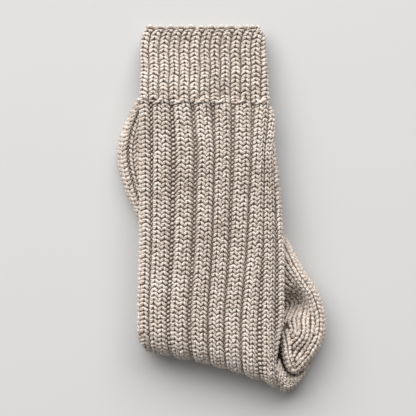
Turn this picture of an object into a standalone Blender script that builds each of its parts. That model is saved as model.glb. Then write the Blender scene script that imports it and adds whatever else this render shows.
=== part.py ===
"""A pair of chunky ribbed wool socks, folded together and lying flat on a table.

The socks lie one on the other, cuffs at +Y, and are folded together across the ankle at -Y,
so that each foot comes back under its own leg. From the table up they are stacked
upper sock's foot, lower sock's foot, lower sock's leg, upper sock's leg.
Each tube of knitting is pressed flat: its front and back share one rounded solid,
with the real slot between them inside the mouth of the cuff.
The heels puff out at +X, nested in each other, with the side of the upper one dented in.

Tables and sizes are in millimetres; the meshes are in metres. The table top is z = 0.
"""

from math import cos, exp, floor, pi, radians, sin

import bmesh
import bpy
from mathutils import Vector

MM = 0.001

# ---------------------------------------------------------------- driving sizes
TUBE_HALF = 4.5            # half of a flattened tube's thickness: two walls of knitting
LAYER_MIDDLE = {           # height of each tube's middle above the table
    "upper_leg": 33.5,
    "lower_leg": 24.0,
    "lower_foot": 14.0,
    "upper_foot": 4.5,
}
FOLD_HEIGHT = 19.0         # height of the line that the ankles are folded round
FOLD_POINT = (-38.5, -97.6)    # a point on that line, seen from above
FOLD_ANGLE = radians(-15.2)    # its slant: the fold drops towards the heel
FOLD_FLARE = 6.5           # how far the fold spreads towards the heel at its outermost
FOLD_TUCK = 9.0            # how far its other end draws in there, last of all
FOLD_STEPS = 8
# The fold bows: x, how far it is held back towards the cuffs there
FOLD_BOW = (
    (-63.0, 1.0), (-50.0, 2.0), (-41.0, 2.6), (-24.0, 3.7), (-8.0, 4.4),
    (6.0, 4.6), (17.0, 4.1), (28.0, 2.6), (36.0, 1.2), (44.0, 0.0),
)
FOLD_BOW_FROM, FOLD_BOW_TO = -40.0, -100.0    # along y
EDGE_DROOP = 0.06          # share of its height that the stack loses at its long edges
STACK_CENTRE_X = -8.5
STACK_HALF_WIDTH = 55.0
CUFF_DROP = 19.5           # how far the cuffs sink past the toes, down to the table
CUFF_DROP_FROM, CUFF_DROP_TO = 86.0, 132.0    # along y
LEG_SAG = 13.0             # how far the legs sink beside the feet, which are narrower
LEG_SAG_REACH = 34.0       # from a foot's edge
LEG_SAG_FROM, LEG_SAG_TO = -60.0, 0.0         # along y: beside the heel they are held up
SLOT_HALF = 0.8            # half of the slot inside the mouth of a cuff
SLOT_DEPTH = 50.0
WALL = 3.8                 # one wall of the cuff
LIP_OPENING, LIP_ROUND = 0.7, 1.6      # how the mouth's rim is eased, up and across
SEAM_GAP = 0.4             # between solids that meet

STITCHES = 56              # round the leg: 14 wide ribs, or 28 narrow ones at the cuff
WIDE_RIB_DEPTH = 2.3       # knit two, purl two
NARROW_RIB_DEPTH = 1.2     # knit one, purl one
FOOT_RIB_DEPTH = 1.2

# How far in each edge of the lower sock lies from the upper sock's
LOWER_INSET_LEFT, LOWER_INSET_RIGHT, LOWER_INSET_MOUTH = 2.0, 4.5, 1.2

# Upper cuff, from the mouth down: y, left edge x, right edge x, half thickness
CUFF_SECTIONS = (
    (141.6, -58.1, 29.6, 3.2),
    (139.3, -60.8, 32.3, 4.3),
    (133.0, -62.0, 33.9, 4.5),
    (122.0, -63.3, 34.4, 4.5),
    (109.0, -62.6, 35.6, 4.5),
    (96.0, -63.2, 36.2, 4.5),
    (82.6, -63.0, 37.6, 4.5),
)
# Upper leg, from the cuff to the start of the fold: left edge x, y, right edge x, y
LEG_SECTIONS = (
    (-63.0, 82.2, 38.2, 82.2),
    (-63.0, 73.0, 40.6, 73.0),
    (-63.1, 60.0, 41.5, 60.0),
    (-63.1, 37.3, 42.6, 37.3),
    (-62.9, 6.5, 46.0, 4.2),
    (-62.8, -24.3, 48.1, -29.6),
    (-63.6, -55.1, 48.1, -65.1),
    (-64.2, -74.3, 47.7, -87.4),
    (-64.2, -84.3, 44.3, -102.0),
)
LEG_RIGHT_OVER_HEEL = 48.1     # the upper leg lies over the edge of the heel
LEG_RIGHT_BY_HEEL = 45.0       # the lower leg, before its inset, stops beside it
FOLD_LEFT, FOLD_RIGHT = -64.0, 43.1    # x of the leg's edges where the fold starts
# Foot, from the toe to the fold: left edge x, y, right edge x, y, half thickness
FOOT_SECTIONS = (
    (-55.1, 88.9, -19.6, 86.6, 2.4),
    (-64.3, 85.9, -7.3, 82.8, 3.7),
    (-70.8, 74.6, 1.9, 73.5, 4.3),
    (-77.8, 58.6, 11.2, 57.4, 4.5),
    (-80.4, 43.1, 15.8, 45.0, 4.5),
    (-79.0, 29.4, 18.9, 32.0, 4.5),
    (-75.6, 16.9, 21.9, 18.9, 4.5),
    (-70.6, 4.6, 25.0, 5.8, 4.5),
    (-65.4, -7.3, 28.1, -8.9, 4.5),
    (-60.8, -28.1, 32.7, -32.0, 4.5),
    (-60.4, -62.8, 38.1, -70.5, 4.5),
)
# Distance round the tube from its left edge to the middle of each wide rib
RIB_STATIONS = (84.0, 45.0, -95.0)     # y of the three places below
RIB_PLACES = (                         # cuff and leg top, calf, ankle
    (3.3, 4.2, 4.0),
    (19.1, 19.7, 17.3),
    (34.9, 38.0, 33.6),
    (50.7, 54.1, 49.7),
    (66.5, 67.0, 62.4),
    (82.3, 81.9, 74.7),
    (98.1, 95.8, 88.1),
    (109.0, 102.6, 103.8),
    (121.0, 110.5, 115.5),
)
# Points across one wide rib and its valley: stitches from the rib's middle, share of the depth
WIDE_RIB = ((0.0, 0.0), (0.7, 0.15), (1.3, 0.85), (2.0, 1.0), (2.7, 0.85), (3.3, 0.15))
NARROW_RIB = ((0.5, 0.0), (1.0, 0.5), (1.5, 1.0), (2.0, 0.5))

# The puffed heel: its outline, x, y, and the height of the rim there
HEEL_OUTLINE = (
    (45.0, -18.9, 8.0), (51.0, -24.3, 13.0), (55.1, -32.0, 18.5), (60.2, -42.0, 24.5),
    (65.4, -50.4, 27.0), (69.7, -56.6, 27.0), (74.8, -65.1, 26.0), (77.8, -73.5, 25.0),
    (80.1, -82.5, 24.0), (80.4, -91.5, 24.0), (78.9, -100.0, 25.0), (76.0, -106.8, 26.0),
    (72.1, -113.2, 27.0), (67.6, -119.0, 28.0), (63.4, -124.0, 29.0), (59.3, -127.2, 30.0),
    (55.4, -127.6, 31.0), (52.0, -125.2, 31.0), (49.4, -120.6, 31.0), (47.4, -113.0, 30.0),
    (45.9, -104.0, 27.0), (43.9, -92.0, 23.0), (43.2, -78.2, 18.0), (43.2, -62.8, 16.0),
    (43.2, -47.4, 16.0), (43.4, -32.0, 12.0),
)
HEEL_SPINE = ((46.2, -26.6), (48.1, -70.5), (50.6, -93.6), (55.6, -118.5))
HEEL_AROUND = 52           # points round the outline
HEEL_STEPS = 15            # rings over its side, between the two shares of the way in
HEEL_STEPS_FROM, HEEL_STEPS_TO = 0.10, 0.92
HEEL_COLUMNS = 4           # columns of stitches from the rim in to the spine
HEEL_RIDGE = 0.8           # depth between them, where the heel is at least this wide
HEEL_RIDGE_WIDTH = 20.0
HEEL_FLOOR = 21.0          # height of the heel's side inside the rim
HEEL_SLOPE_FROM, HEEL_SLOPE_TO = 0.10, 0.50    # shares of the way in where it falls to there
# Outside of the pocket: share of the way in, share of the rim's height
HEEL_SIDE = ((0.16, 0.0), (0.05, 0.14), (0.0, 0.45), (0.0, 0.75), (0.03, 0.93))
# Hollows and bumps in its side: x, y, reach in x, reach in y, height
HEEL_DENTS = (
    (47.0, -20.0, 9.0, 13.0, -10.0),
    (53.0, -72.5, 10.0, 12.0, -14.0),
    (61.0, -99.0, 10.5, 13.0, 6.0),
)
# The lower sock's heel, curled round the bottom of the upper one:
# outer x, y, inner x, y, height
HEEL_CURL = (
    (46.8, -139.6, 46.8, -128.6, 20.0),
    (51.2, -141.4, 51.2, -130.2, 22.0),
    (56.2, -138.2, 56.0, -130.2, 20.5),
    (61.0, -133.6, 60.3, -128.8, 18.5),
    (65.2, -128.2, 64.4, -125.2, 15.5),
    (68.7, -122.4, 67.9, -120.4, 11.5),
    (71.2, -117.6, 70.6, -116.4, 7.5),
)
CURL_AROUND = 12
CURL_WAIST, CURL_BULGE = 0.50, 0.62    # height of its widest line, and how far it rises above
CURL_FOOT = 0.86           # how far across it rests on the table

UP = Vector((0.0, 0.0, 1.0))
FOLD_OUT = Vector((sin(FOLD_ANGLE), -cos(FOLD_ANGLE), 0.0))    # level, across the fold line

WOOL_COLOUR = (0.42, 0.34, 0.29, 1.0)
WOOL_ROUGHNESS = 0.95


# ---------------------------------------------------------------- small helpers
def blend(start, end, share):
    return start + (end - start) * share


def smooth_step(value, start, end):
    share = min(1.0, max(0.0, (value - start) / (end - start)))
    return share * share * (3.0 - 2.0 * share)


def read_table(rows, x):
    """Second column of a table of pairs at x, its first column rising, by straight lines."""
    for (x0, y0), (x1, y1) in zip(rows, rows[1:]):
        if x <= x1:
            return blend(y0, y1, max(0.0, (x - x0) / (x1 - x0)))
    return rows[-1][1]


def relax(point):
    """Lower a point of the stack, more towards the long edges, and bow it near the fold."""
    reach = min(1.0, abs(point.x - STACK_CENTRE_X) / STACK_HALF_WIDTH)
    bow = read_table(FOLD_BOW, point.x) * smooth_step(-point.y, -FOLD_BOW_FROM, -FOLD_BOW_TO)
    return Vector((point.x, point.y + bow, point.z * (1.0 - EDGE_DROOP * reach ** 3)))


def drape(point):
    """Lower a point of a leg or cuff where no foot is under it."""
    past_toes = smooth_step(point.y, CUFF_DROP_FROM, CUFF_DROP_TO)
    foot_edge = read_table([(row[3], row[2]) for row in reversed(FOOT_SECTIONS)], point.y)
    beside = smooth_step(point.x - foot_edge, 0.0, LEG_SAG_REACH)
    beside *= smooth_step(point.y, LEG_SAG_FROM, LEG_SAG_TO) * LEG_SAG / CUFF_DROP
    drop = CUFF_DROP * (1.0 - (1.0 - past_toes) * (1.0 - beside))
    return relax(point - UP * drop)


# ---------------------------------------------------------------- rings of stitches
def half_girth(width, half):
    return width - 2.0 * half + pi * half


def oval_point(distance, width, half):
    """Place and outward direction on a flattened tube, a distance round from its left edge."""
    quarter, side = 0.5 * pi * half, 1.0
    girth = 2.0 * half_girth(width, half)
    distance %= girth
    if distance > 0.5 * girth:
        distance, side = girth - distance, -1.0
    if distance < quarter:
        turn = distance / half
        place, out = (half - half * cos(turn), half * sin(turn)), (-cos(turn), sin(turn))
    elif distance <= 0.5 * girth - quarter:
        place, out = (half + distance - quarter, half), (0.0, 1.0)
    else:
        turn = (0.5 * girth - distance) / half
        place, out = (width - half + half * cos(turn), half * sin(turn)), (cos(turn), sin(turn))
    return (place[0], side * place[1]), (out[0], side * out[1])


def stitch_distance(stitch, y, girth, slant, shift):
    """Distance round the leg from its left edge to a stitch, at a height y along the sock.

    The slant is the length of a section for its width in x, and the shift moves all its ribs.
    """
    top, middle, bottom = RIB_STATIONS
    places = []
    for at_top, at_middle, at_bottom in RIB_PLACES:
        if y >= middle:
            share = min(1.0, (top - y) / (top - middle)) if y < top else 0.0
            places.append(blend(at_top, at_middle, share))
        else:
            places.append(blend(at_middle, at_bottom, min(1.0, (middle - y) / (middle - bottom))))
    places = [slant * place + shift for place in places]
    known = len(places) - 1
    rib = stitch / 4.0
    if rib <= known:
        low = min(known - 1, floor(rib))
        return blend(places[low], places[low + 1], rib - low)
    share = (rib - known) / (STITCHES / 4.0 - known)
    return blend(places[known], girth + places[0], share)


def wave_points(rib, depth, every=1):
    """Stitch number and valley depth of every point round a tube, or of every second one."""
    period = 4.0 if rib is WIDE_RIB else 2.0
    points = []
    for repeat in range(int(STITCHES / period)):
        for stitch, share in rib[::every]:
            points.append((repeat * period + stitch, depth * share))
    return points


def tube_ring(left, right, up, half, points, strength=1.0, shift=0.0):
    """One ring round a flattened tube, its valleys pressed in on the side that shows."""
    across = right - left
    width = across.length
    across.normalize()
    girth = 2.0 * half_girth(width, half)
    ring = []
    for stitch, valley in points:
        distance = stitch_distance(stitch, 0.5 * (left.y + right.y), girth, 1.0 / across.x, shift)
        place, out = oval_point(distance, width, half)
        shown = strength * min(1.0, 1.0 + out[1])
        press = valley * shown
        ring.append(left + across * (place[0] - out[0] * press) + up * (place[1] - out[1] * press))
    return ring


def foot_ring(left, right, up, half):
    """One ring round a foot, a point for each stitch, with its ribs on the side that shows."""
    across = right - left
    width = across.length
    across.normalize()
    girth = 2.0 * half_girth(width, half)
    ring = []
    for stitch in range(STITCHES):
        place, out = oval_point(girth * stitch / STITCHES, width, half)
        wave = 0.5 - 0.5 * cos(2.0 * pi * stitch / 4.0)
        press = FOOT_RIB_DEPTH * wave * min(1.0, 1.0 + out[1])
        ring.append(left + across * (place[0] - out[0] * press) + up * (place[1] - out[1] * press))
    return ring


def fold_line_point(x):
    """The point of the fold line at x, seen from above."""
    return Vector((x, FOLD_POINT[1] + (x - FOLD_POINT[0]) * sin(FOLD_ANGLE) / cos(FOLD_ANGLE), 0.0))


def fold_tuck(turn):
    return FOLD_TUCK * sin(turn) ** 3


def fold_section(turn, radius, inset_left, inset_right):
    """Left edge, right edge and outward direction of a leg's tube, turned round the fold line."""
    spread = sin(turn)
    left_x = FOLD_LEFT + inset_left + fold_tuck(turn)
    right_x = FOLD_RIGHT - inset_right + FOLD_FLARE * spread
    out = UP * cos(turn) + FOLD_OUT * sin(turn)
    middle = UP * FOLD_HEIGHT + out * radius
    return fold_line_point(left_x) + middle, fold_line_point(right_x) + middle, out


# ---------------------------------------------------------------- meshes
def wool_material(name):
    material = bpy.data.materials.new(name)
    material.use_nodes = True
    principled = material.node_tree.nodes["Principled BSDF"]
    principled.inputs["Base Color"].default_value = WOOL_COLOUR
    principled.inputs["Roughness"].default_value = WOOL_ROUGHNESS
    principled.inputs["Metallic"].default_value = 0.0
    return material


def loft(name, rings, collection):
    """A closed solid through rings of the same number of points, with flat ends."""
    shape = bmesh.new()
    loops = [[shape.verts.new(point * MM) for point in ring] for ring in rings]
    count = len(loops[0])
    for near, far in zip(loops, loops[1:]):
        for index in range(count):
            following = (index + 1) % count
            shape.faces.new((near[index], near[following], far[following], far[index]))
    shape.faces.new(loops[0])
    shape.faces.new(loops[-1])
    bmesh.ops.triangulate(shape, faces=[face for face in shape.faces if len(face.verts) > 4])
    bmesh.ops.recalc_face_normals(shape, faces=shape.faces)
    mesh = bpy.data.meshes.new(name)
    shape.to_mesh(mesh)
    shape.free()
    mesh.shade_smooth()
    mesh.set_sharp_from_angle(angle=radians(50.0))
    mesh.materials.append(wool_material(name + "_wool"))
    piece = bpy.data.objects.new(name, mesh)
    collection.objects.link(piece)
    return piece


# ---------------------------------------------------------------- the socks
def make_cuff(name, leg, inset_left, inset_right, inset_mouth, every, collection):
    """A flattened tube, open at its mouth, that sinks past the toes to the table."""
    points = wave_points(NARROW_RIB, NARROW_RIB_DEPTH, every)
    middle_height = LAYER_MIDDLE[leg]

    def section(y, left, right, half, valleys, shrink=0.0):
        y = min(y, CUFF_SECTIONS[0][0] - inset_mouth)
        left_edge = Vector((left + inset_left + shrink, y, middle_height))
        right_edge = Vector((right - inset_right - shrink, y, middle_height))
        ring = tube_ring(left_edge, right_edge, UP, half, valleys)
        return [drape(point) for point in ring]

    outer = [section(*row, points) for row in reversed(CUFF_SECTIONS)]
    plain = [(stitch, 0.0) for stitch, valley in points]
    mouth_y, mouth_left, mouth_right, mouth_half = CUFF_SECTIONS[0]
    lip = section(mouth_y, mouth_left, mouth_right, SLOT_HALF + LIP_OPENING, plain, WALL - LIP_ROUND)
    inner = [lip]
    for row in CUFF_SECTIONS[2:5]:
        y = max(row[0], mouth_y - SLOT_DEPTH)
        inner.append(section(y, row[1], row[2], SLOT_HALF, plain, WALL))
    return loft(name, outer + inner, collection)


def make_leg(name, leg, foot, inset_left, inset_right, every, collection):
    """A flattened tube from the cuff down and round the fold, to where the foot starts."""
    points = wave_points(WIDE_RIB, WIDE_RIB_DEPTH, every)
    height = LAYER_MIDDLE[leg]
    radius = 0.5 * (height - LAYER_MIDDLE[foot])
    most_right = LEG_RIGHT_OVER_HEEL if inset_right == 0.0 else LEG_RIGHT_BY_HEEL
    rings = []
    for left_x, left_y, right_x, right_y in LEG_SECTIONS:
        left_edge = Vector((left_x + inset_left, left_y, height))
        right_edge = Vector((min(right_x, most_right) - inset_right, right_y, height))
        rings.append(tube_ring(left_edge, right_edge, UP, TUBE_HALF, points))
    for step in range(FOLD_STEPS + 1):
        turn = pi * step / FOLD_STEPS
        left_edge, right_edge, out = fold_section(turn, radius, inset_left, inset_right)
        strength = 1.0 - smooth_step(turn, 0.55 * pi, 0.95 * pi)
        # a rib stays straight on the cloth, so it runs along the slanting fold as it turns
        shift = -sin(FOLD_ANGLE) / cos(FOLD_ANGLE) * (radius + TUBE_HALF) * turn - fold_tuck(turn)
        rings.append(tube_ring(left_edge, right_edge, out, TUBE_HALF, points, strength, shift))
    return loft(name, [[drape(point) for point in ring] for ring in rings], collection)


def make_foot(name, foot, inset_left, inset_right, collection):
    """A flattened tube under the legs, from the toe to the fold."""
    height = LAYER_MIDDLE[foot]
    rings = []
    for left_x, left_y, right_x, right_y, half in FOOT_SECTIONS:
        low = height - TUBE_HALF + half
        left_edge = Vector((left_x + inset_left, left_y - 0.5 * inset_left, low))
        right_edge = Vector((right_x - inset_right, right_y, low))
        rings.append(foot_ring(left_edge, right_edge, UP, half))
    left_edge, right_edge, out = fold_section(pi, FOLD_HEIGHT - height, inset_left, inset_right)
    seam = Vector((0.0, SEAM_GAP, 0.0))
    rings.append(foot_ring(left_edge + seam, right_edge + seam, UP, TUBE_HALF))
    return loft(name, [[relax(point) for point in ring] for ring in rings], collection)


def heel_outline_point(share):
    """A point of the heel's outline, with the rim's height as z, on a smooth closed curve."""
    count = len(HEEL_OUTLINE)
    place = share * count
    index = floor(place)
    t = place - index
    before, here, after, beyond = (
        Vector(HEEL_OUTLINE[(index + offset) % count]) for offset in (-1, 0, 1, 2))
    return 0.5 * (2.0 * here + (after - before) * t
                  + (2.0 * before - 5.0 * here + 4.0 * after - beyond) * t * t
                  + (3.0 * here - before - 3.0 * after + beyond) * t ** 3)


def heel_spine_x(y):
    return read_table([(-row_y, x) for x, row_y in HEEL_SPINE], -y)


def heel_surface(place, rim, share, width):
    """Height of the heel's side, a share of the way in from the rim to the spine."""
    height = HEEL_FLOOR
    for x, y, reach_x, reach_y, rise in HEEL_DENTS:
        height += rise * exp(-((place.x - x) / reach_x) ** 2 - ((place.y - y) / reach_y) ** 2)
    height = blend(rim, height, smooth_step(share, HEEL_SLOPE_FROM, HEEL_SLOPE_TO))
    ridge = HEEL_RIDGE * min(1.0, width / HEEL_RIDGE_WIDTH)
    ridge *= smooth_step(share, HEEL_STEPS_FROM, 2.0 * HEEL_STEPS_FROM)
    return height - ridge * (0.5 - 0.5 * cos(2.0 * pi * share * HEEL_COLUMNS))


def make_heel(name, collection):
    """The upper sock's heel: a flat-bottomed pocket with a raised rim and a dented side."""
    outline = [heel_outline_point(index / HEEL_AROUND) for index in range(HEEL_AROUND)]
    spine = []
    for point in outline:
        y = min(HEEL_SPINE[0][1], max(HEEL_SPINE[-1][1], point.y))
        spine.append(Vector((heel_spine_x(y), y, 0.0)))

    def ring(share, height_of):
        loop = []
        for point, middle in zip(outline, spine):
            edge = Vector((point.x, point.y, 0.0))
            width = (middle - edge).length
            place = edge.lerp(middle, share)
            place.z = height_of(point, place, share, width)
            loop.append(place)
        return loop

    rings = [ring(share, lambda point, place, s, width, lift=lift: point.z * lift)
             for share, lift in HEEL_SIDE]
    for step in range(HEEL_STEPS + 1):
        share = blend(HEEL_STEPS_FROM, HEEL_STEPS_TO, step / HEEL_STEPS)
        rings.append(ring(share, lambda point, place, s, width: heel_surface(place, point.z, s, width)))
    return loft(name, rings, collection)


def make_heel_curl(name, collection):
    """The lower sock's heel, a tapering roll round the bottom of the upper one."""
    rings = []
    for outer_x, outer_y, inner_x, inner_y, height in HEEL_CURL:
        outer = Vector((outer_x, outer_y, 0.0))
        inner = Vector((inner_x, inner_y, 0.0))
        middle, reach = (outer + inner) * 0.5, (outer - inner) * 0.5
        ring = []
        for step in range(CURL_AROUND):
            turn = 2.0 * pi * step / CURL_AROUND
            lift = max(0.0, CURL_WAIST + CURL_BULGE * sin(turn))
            out = cos(turn) * (CURL_FOOT if lift == 0.0 else 1.0)
            ring.append(middle + reach * out + UP * (lift / (CURL_WAIST + CURL_BULGE) * height))
        rings.append(ring)
    return loft(name, rings, collection)


def main():
    for item in list(bpy.data.objects):
        bpy.data.objects.remove(item)
    collection = bpy.data.collections.new("wool_socks_folded")
    bpy.context.scene.collection.children.link(collection)

    make_cuff("upper_cuff", "upper_leg", 0.0, 0.0, 0.0, 1, collection)
    make_leg("upper_leg", "upper_leg", "upper_foot", 0.0, 0.0, 1, collection)
    make_foot("upper_foot", "upper_foot", 0.0, 0.0, collection)
    make_heel("upper_heel", collection)
    insets = (LOWER_INSET_LEFT, LOWER_INSET_RIGHT)
    make_cuff("lower_cuff", "lower_leg", *insets, LOWER_INSET_MOUTH, 2, collection)
    make_leg("lower_leg", "lower_leg", "lower_foot", *insets, 2, collection)
    make_foot("lower_foot", "lower_foot", *insets, collection)
    make_heel_curl("lower_heel", collection)


main()
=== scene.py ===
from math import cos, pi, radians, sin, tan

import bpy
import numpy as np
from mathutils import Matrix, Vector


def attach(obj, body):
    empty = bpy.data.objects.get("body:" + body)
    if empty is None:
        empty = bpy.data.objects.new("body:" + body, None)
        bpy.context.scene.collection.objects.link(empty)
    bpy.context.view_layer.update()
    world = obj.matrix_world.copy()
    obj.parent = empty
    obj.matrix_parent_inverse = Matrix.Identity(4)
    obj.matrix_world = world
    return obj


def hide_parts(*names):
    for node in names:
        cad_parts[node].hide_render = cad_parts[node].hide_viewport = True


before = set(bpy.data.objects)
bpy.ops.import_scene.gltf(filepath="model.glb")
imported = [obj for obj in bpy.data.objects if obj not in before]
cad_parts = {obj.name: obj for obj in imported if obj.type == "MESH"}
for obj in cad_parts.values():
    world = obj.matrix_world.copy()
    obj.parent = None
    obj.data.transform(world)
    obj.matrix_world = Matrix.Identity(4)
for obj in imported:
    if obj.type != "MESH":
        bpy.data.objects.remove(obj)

# %% [markdown]
# # A pair of ribbed wool socks, folded together
#
# Two chunky socks lie one on the other and are folded across the ankle, so each foot comes
# back under its own leg. They are knitted from the cuff down: knit one, purl one at the cuff,
# then knit two, purl two down the leg, with a plain sole and heel.
# Each sock is made here in two layers. A thin closed wall of cloth gives the form, and every
# stitch that shows is a real strand of yarn laid over it, because it is the fat chevrons
# and the dark gaps between them that make knitting look knitted.
#
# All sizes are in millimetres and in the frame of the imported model; meshes are in metres.

MM = 0.001
RNG = np.random.default_rng(7)
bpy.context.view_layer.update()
bpy.ops.object.select_all(action="DESELECT")

# %% [markdown]
# ## Camera and light
#
# The photo looks straight down. A long lens from 2.5 m keeps the sides of the socks out of
# sight, as a long lens does in a product photo. The frame is 320 mm wide at the height of
# the leg. The light is one very large wide window beyond the cuffs, a little to the left, so
# the shadow lies below and to the right and has no edge. The pale room fills it in a little.

# %% Camera and lights
FRAME_WIDTH = 320.3            # width of the photo at the height of the leg
PHOTO_CENTRE = (-10.4, 0.4)    # the middle of the photo, x and y
CAMERA_HEIGHT = 2500.0
LEG_TOP = 36.0
SENSOR = 36.0                  # width of the film


def set_inputs(node, values):
    """Set inputs of a shader node, by their names."""
    for name, value in values.items():
        node.inputs[name].default_value = value


bpy.ops.object.camera_add(
    location=(PHOTO_CENTRE[0] * MM, PHOTO_CENTRE[1] * MM, CAMERA_HEIGHT * MM), rotation=(0, 0, 0))
camera = bpy.context.object
camera.name = "camera"
camera.data.sensor_width = SENSOR
camera.data.lens = SENSOR * (CAMERA_HEIGHT - LEG_TOP) / FRAME_WIDTH
camera.data.clip_end = 10.0
bpy.context.scene.camera = camera

# Metres and watts
WINDOW_PLACE, WINDOW_SIZE, WINDOW_POWER = (-0.8, 3.2, 3.4), (8.0, 4.2), 475.0
ROOM_LIGHT = 0.22
bpy.ops.object.light_add(type="AREA", location=WINDOW_PLACE)
window = bpy.context.object
window.name = "window"
window.data.shape = "RECTANGLE"
window.data.size, window.data.size_y = WINDOW_SIZE
window.data.energy, window.data.color = WINDOW_POWER, (1.0, 0.995, 0.985)
window.rotation_euler = Vector(WINDOW_PLACE).to_track_quat("Z", "Y").to_euler()

world = bpy.data.worlds.new("pale room")
bpy.context.scene.world = world
world.use_nodes = True
set_inputs(world.node_tree.nodes["Background"],
           {"Color": (1.0, 0.99, 0.98, 1.0), "Strength": ROOM_LIGHT})
bpy.context.scene.view_settings.view_transform = "Standard"

# %% Floor
BOARD_COLOUR = (0.60, 0.598, 0.597, 1.0)
bpy.ops.mesh.primitive_plane_add(size=6.0, location=(0.0, 0.0, 0.0))
floor = bpy.context.object
floor.name = "floor"
floor_finish = bpy.data.materials.new("pale matt board")
floor_finish.use_nodes = True
set_inputs(floor_finish.node_tree.nodes["Principled BSDF"],
           {"Base Color": BOARD_COLOUR, "Roughness": 0.8})
floor.data.materials.append(floor_finish)

# %% [markdown]
# ## The form of the folded pair
#
# The same tables as the solids: rows of left and right edges from the mouth of the cuff to
# the toe. The yarn stands proud of the wall, so the wall lies a little inside the solids.

# %% Driving sizes
STITCHES = 56                  # round the leg
FRONT_MIDDLE = 14.0            # the stitch in the middle of the front
ROW = 3.4                      # height of a row of stitches
KNIT_WIDTH = 6.0               # width of a knit stitch on a wide rib
CUFF_KNIT_WIDTH = 7.0
CUFF_COLUMNS = 13              # knit columns across the front of the cuff
YARN = 1.25                    # radius of the yarn
PROUD = 1.3                    # how far the yarn stands out from the wall
WALL = 2.6                     # thickness of the wall
WIDE_VALLEY, CUFF_VALLEY, FOOT_VALLEY = 3.4, 3.2, 1.6    # depth of the purl valleys
TUBE_HALF = 4.5                # half the thickness of a flattened tube
LAYER_MIDDLE = {"upper_leg": 33.5, "lower_leg": 24.0, "lower_foot": 14.0, "upper_foot": 4.5}
FOLD_HEIGHT = 19.0
FOLD_POINT = (-38.5, -97.6)
FOLD_ANGLE = radians(-15.2)
FOLD_FLARE, FOLD_TUCK = 6.5, 9.0    # its right end swings out, its left end draws in
FOLD_PULL = 0.45               # share of the ribs' depth that is pulled out of them there
FOLD_STEPS, SECTION_STEP = 20, 3.0    # sections round the fold, and how far apart elsewhere
# The fold bows: x, how far it is held back towards the cuffs there
FOLD_BOW = ((-63.0, -50.0, -41.0, -24.0, -8.0, 6.0, 17.0, 28.0, 36.0, 44.0),
            (1.0, 2.0, 2.6, 3.7, 4.4, 4.6, 4.1, 2.6, 1.2, 0.0))
FOLD_BOW_FROM, FOLD_BOW_TO = -40.0, -100.0
FOLD_LEFT, FOLD_RIGHT = -64.0, 43.1
EDGE_DROOP, STACK_CENTRE_X, STACK_HALF_WIDTH = 0.06, -8.5, 55.0
CUFF_DROP, CUFF_DROP_FROM, CUFF_DROP_TO = 19.5, 86.0, 132.0
LEG_SAG, LEG_SAG_REACH, LEG_SAG_FROM, LEG_SAG_TO = 13.0, 34.0, -60.0, 0.0
CUFF_END = 82.4                # y where the cuff meets the leg
TABLE_CLEAR = 0.06             # the yarn under the socks is pressed flat just over the table

# Cuff and leg, from the mouth down: left edge x, y, right edge x, y, half thickness
LEG_SECTIONS = np.array((
    (-58.6, 141.6, 30.1, 141.6, 3.4),
    (-60.8, 139.3, 32.3, 139.3, 4.3),
    (-62.0, 133.0, 33.9, 133.0, 4.5),
    (-63.3, 122.0, 34.4, 122.0, 4.5),
    (-62.6, 109.0, 35.6, 109.0, 4.5),
    (-63.2, 96.0, 36.2, 96.0, 4.5),
    (-63.0, 82.4, 37.9, 82.4, 4.5),
    (-63.0, 73.0, 40.6, 73.0, 4.5),
    (-63.1, 60.0, 41.5, 60.0, 4.5),
    (-63.1, 37.3, 42.6, 37.3, 4.5),
    (-62.9, 6.5, 46.0, 4.2, 4.5),
    (-62.8, -24.3, 48.1, -29.6, 4.5),
    (-63.6, -55.1, 48.1, -65.1, 4.5),
    (-64.2, -74.3, 47.7, -87.4, 4.5),
    (-64.2, -84.3, 44.3, -102.0, 4.5),
))
# Foot, from the fold to the toe, with the same columns
FOOT_SECTIONS = np.array((
    (-60.4, -62.8, 38.1, -70.5, 4.5),
    (-60.8, -28.1, 32.7, -32.0, 4.5),
    (-65.4, -7.3, 28.1, -8.9, 4.5),
    (-70.6, 4.6, 25.0, 5.8, 4.5),
    (-75.6, 16.9, 21.9, 18.9, 4.5),
    (-79.0, 29.4, 18.9, 32.0, 4.5),
    (-80.4, 43.1, 15.8, 45.0, 4.5),
    (-77.8, 58.6, 11.2, 57.4, 4.5),
    (-70.8, 74.6, 1.9, 73.5, 4.3),
    (-64.3, 85.9, -7.3, 82.8, 3.7),
    (-55.1, 88.9, -19.6, 86.6, 2.6),
))
# Distance round the tube from its left edge to the middle of each wide rib, at three places
# along y
RIB_STATIONS = (84.0, 45.0, -95.0)
RIB_PLACES = np.array((
    (3.3, 4.2, 4.0), (19.1, 19.7, 17.3), (34.9, 38.0, 33.6), (50.7, 54.1, 49.7),
    (66.5, 67.0, 62.4), (82.3, 81.9, 74.7), (98.1, 95.8, 88.1), (109.0, 102.6, 103.8),
    (121.0, 110.5, 115.5),
))
# Width of a knit stitch on either side of each of those valleys, and of the ones behind
KNIT_WIDTHS = np.array((6.2, 6.2, 6.1, 5.6, 5.5, 5.9, 4.9, 3.7))
KNIT_WIDTH_BEHIND = 6.3
UP = np.array((0.0, 0.0, 1.0))
FOLD_OUT = np.array((sin(FOLD_ANGLE), -cos(FOLD_ANGLE), 0.0))


def smooth_step(value, start, end):
    share = np.clip((value - start) / (end - start), 0.0, 1.0)
    return share * share * (3.0 - 2.0 * share)


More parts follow.
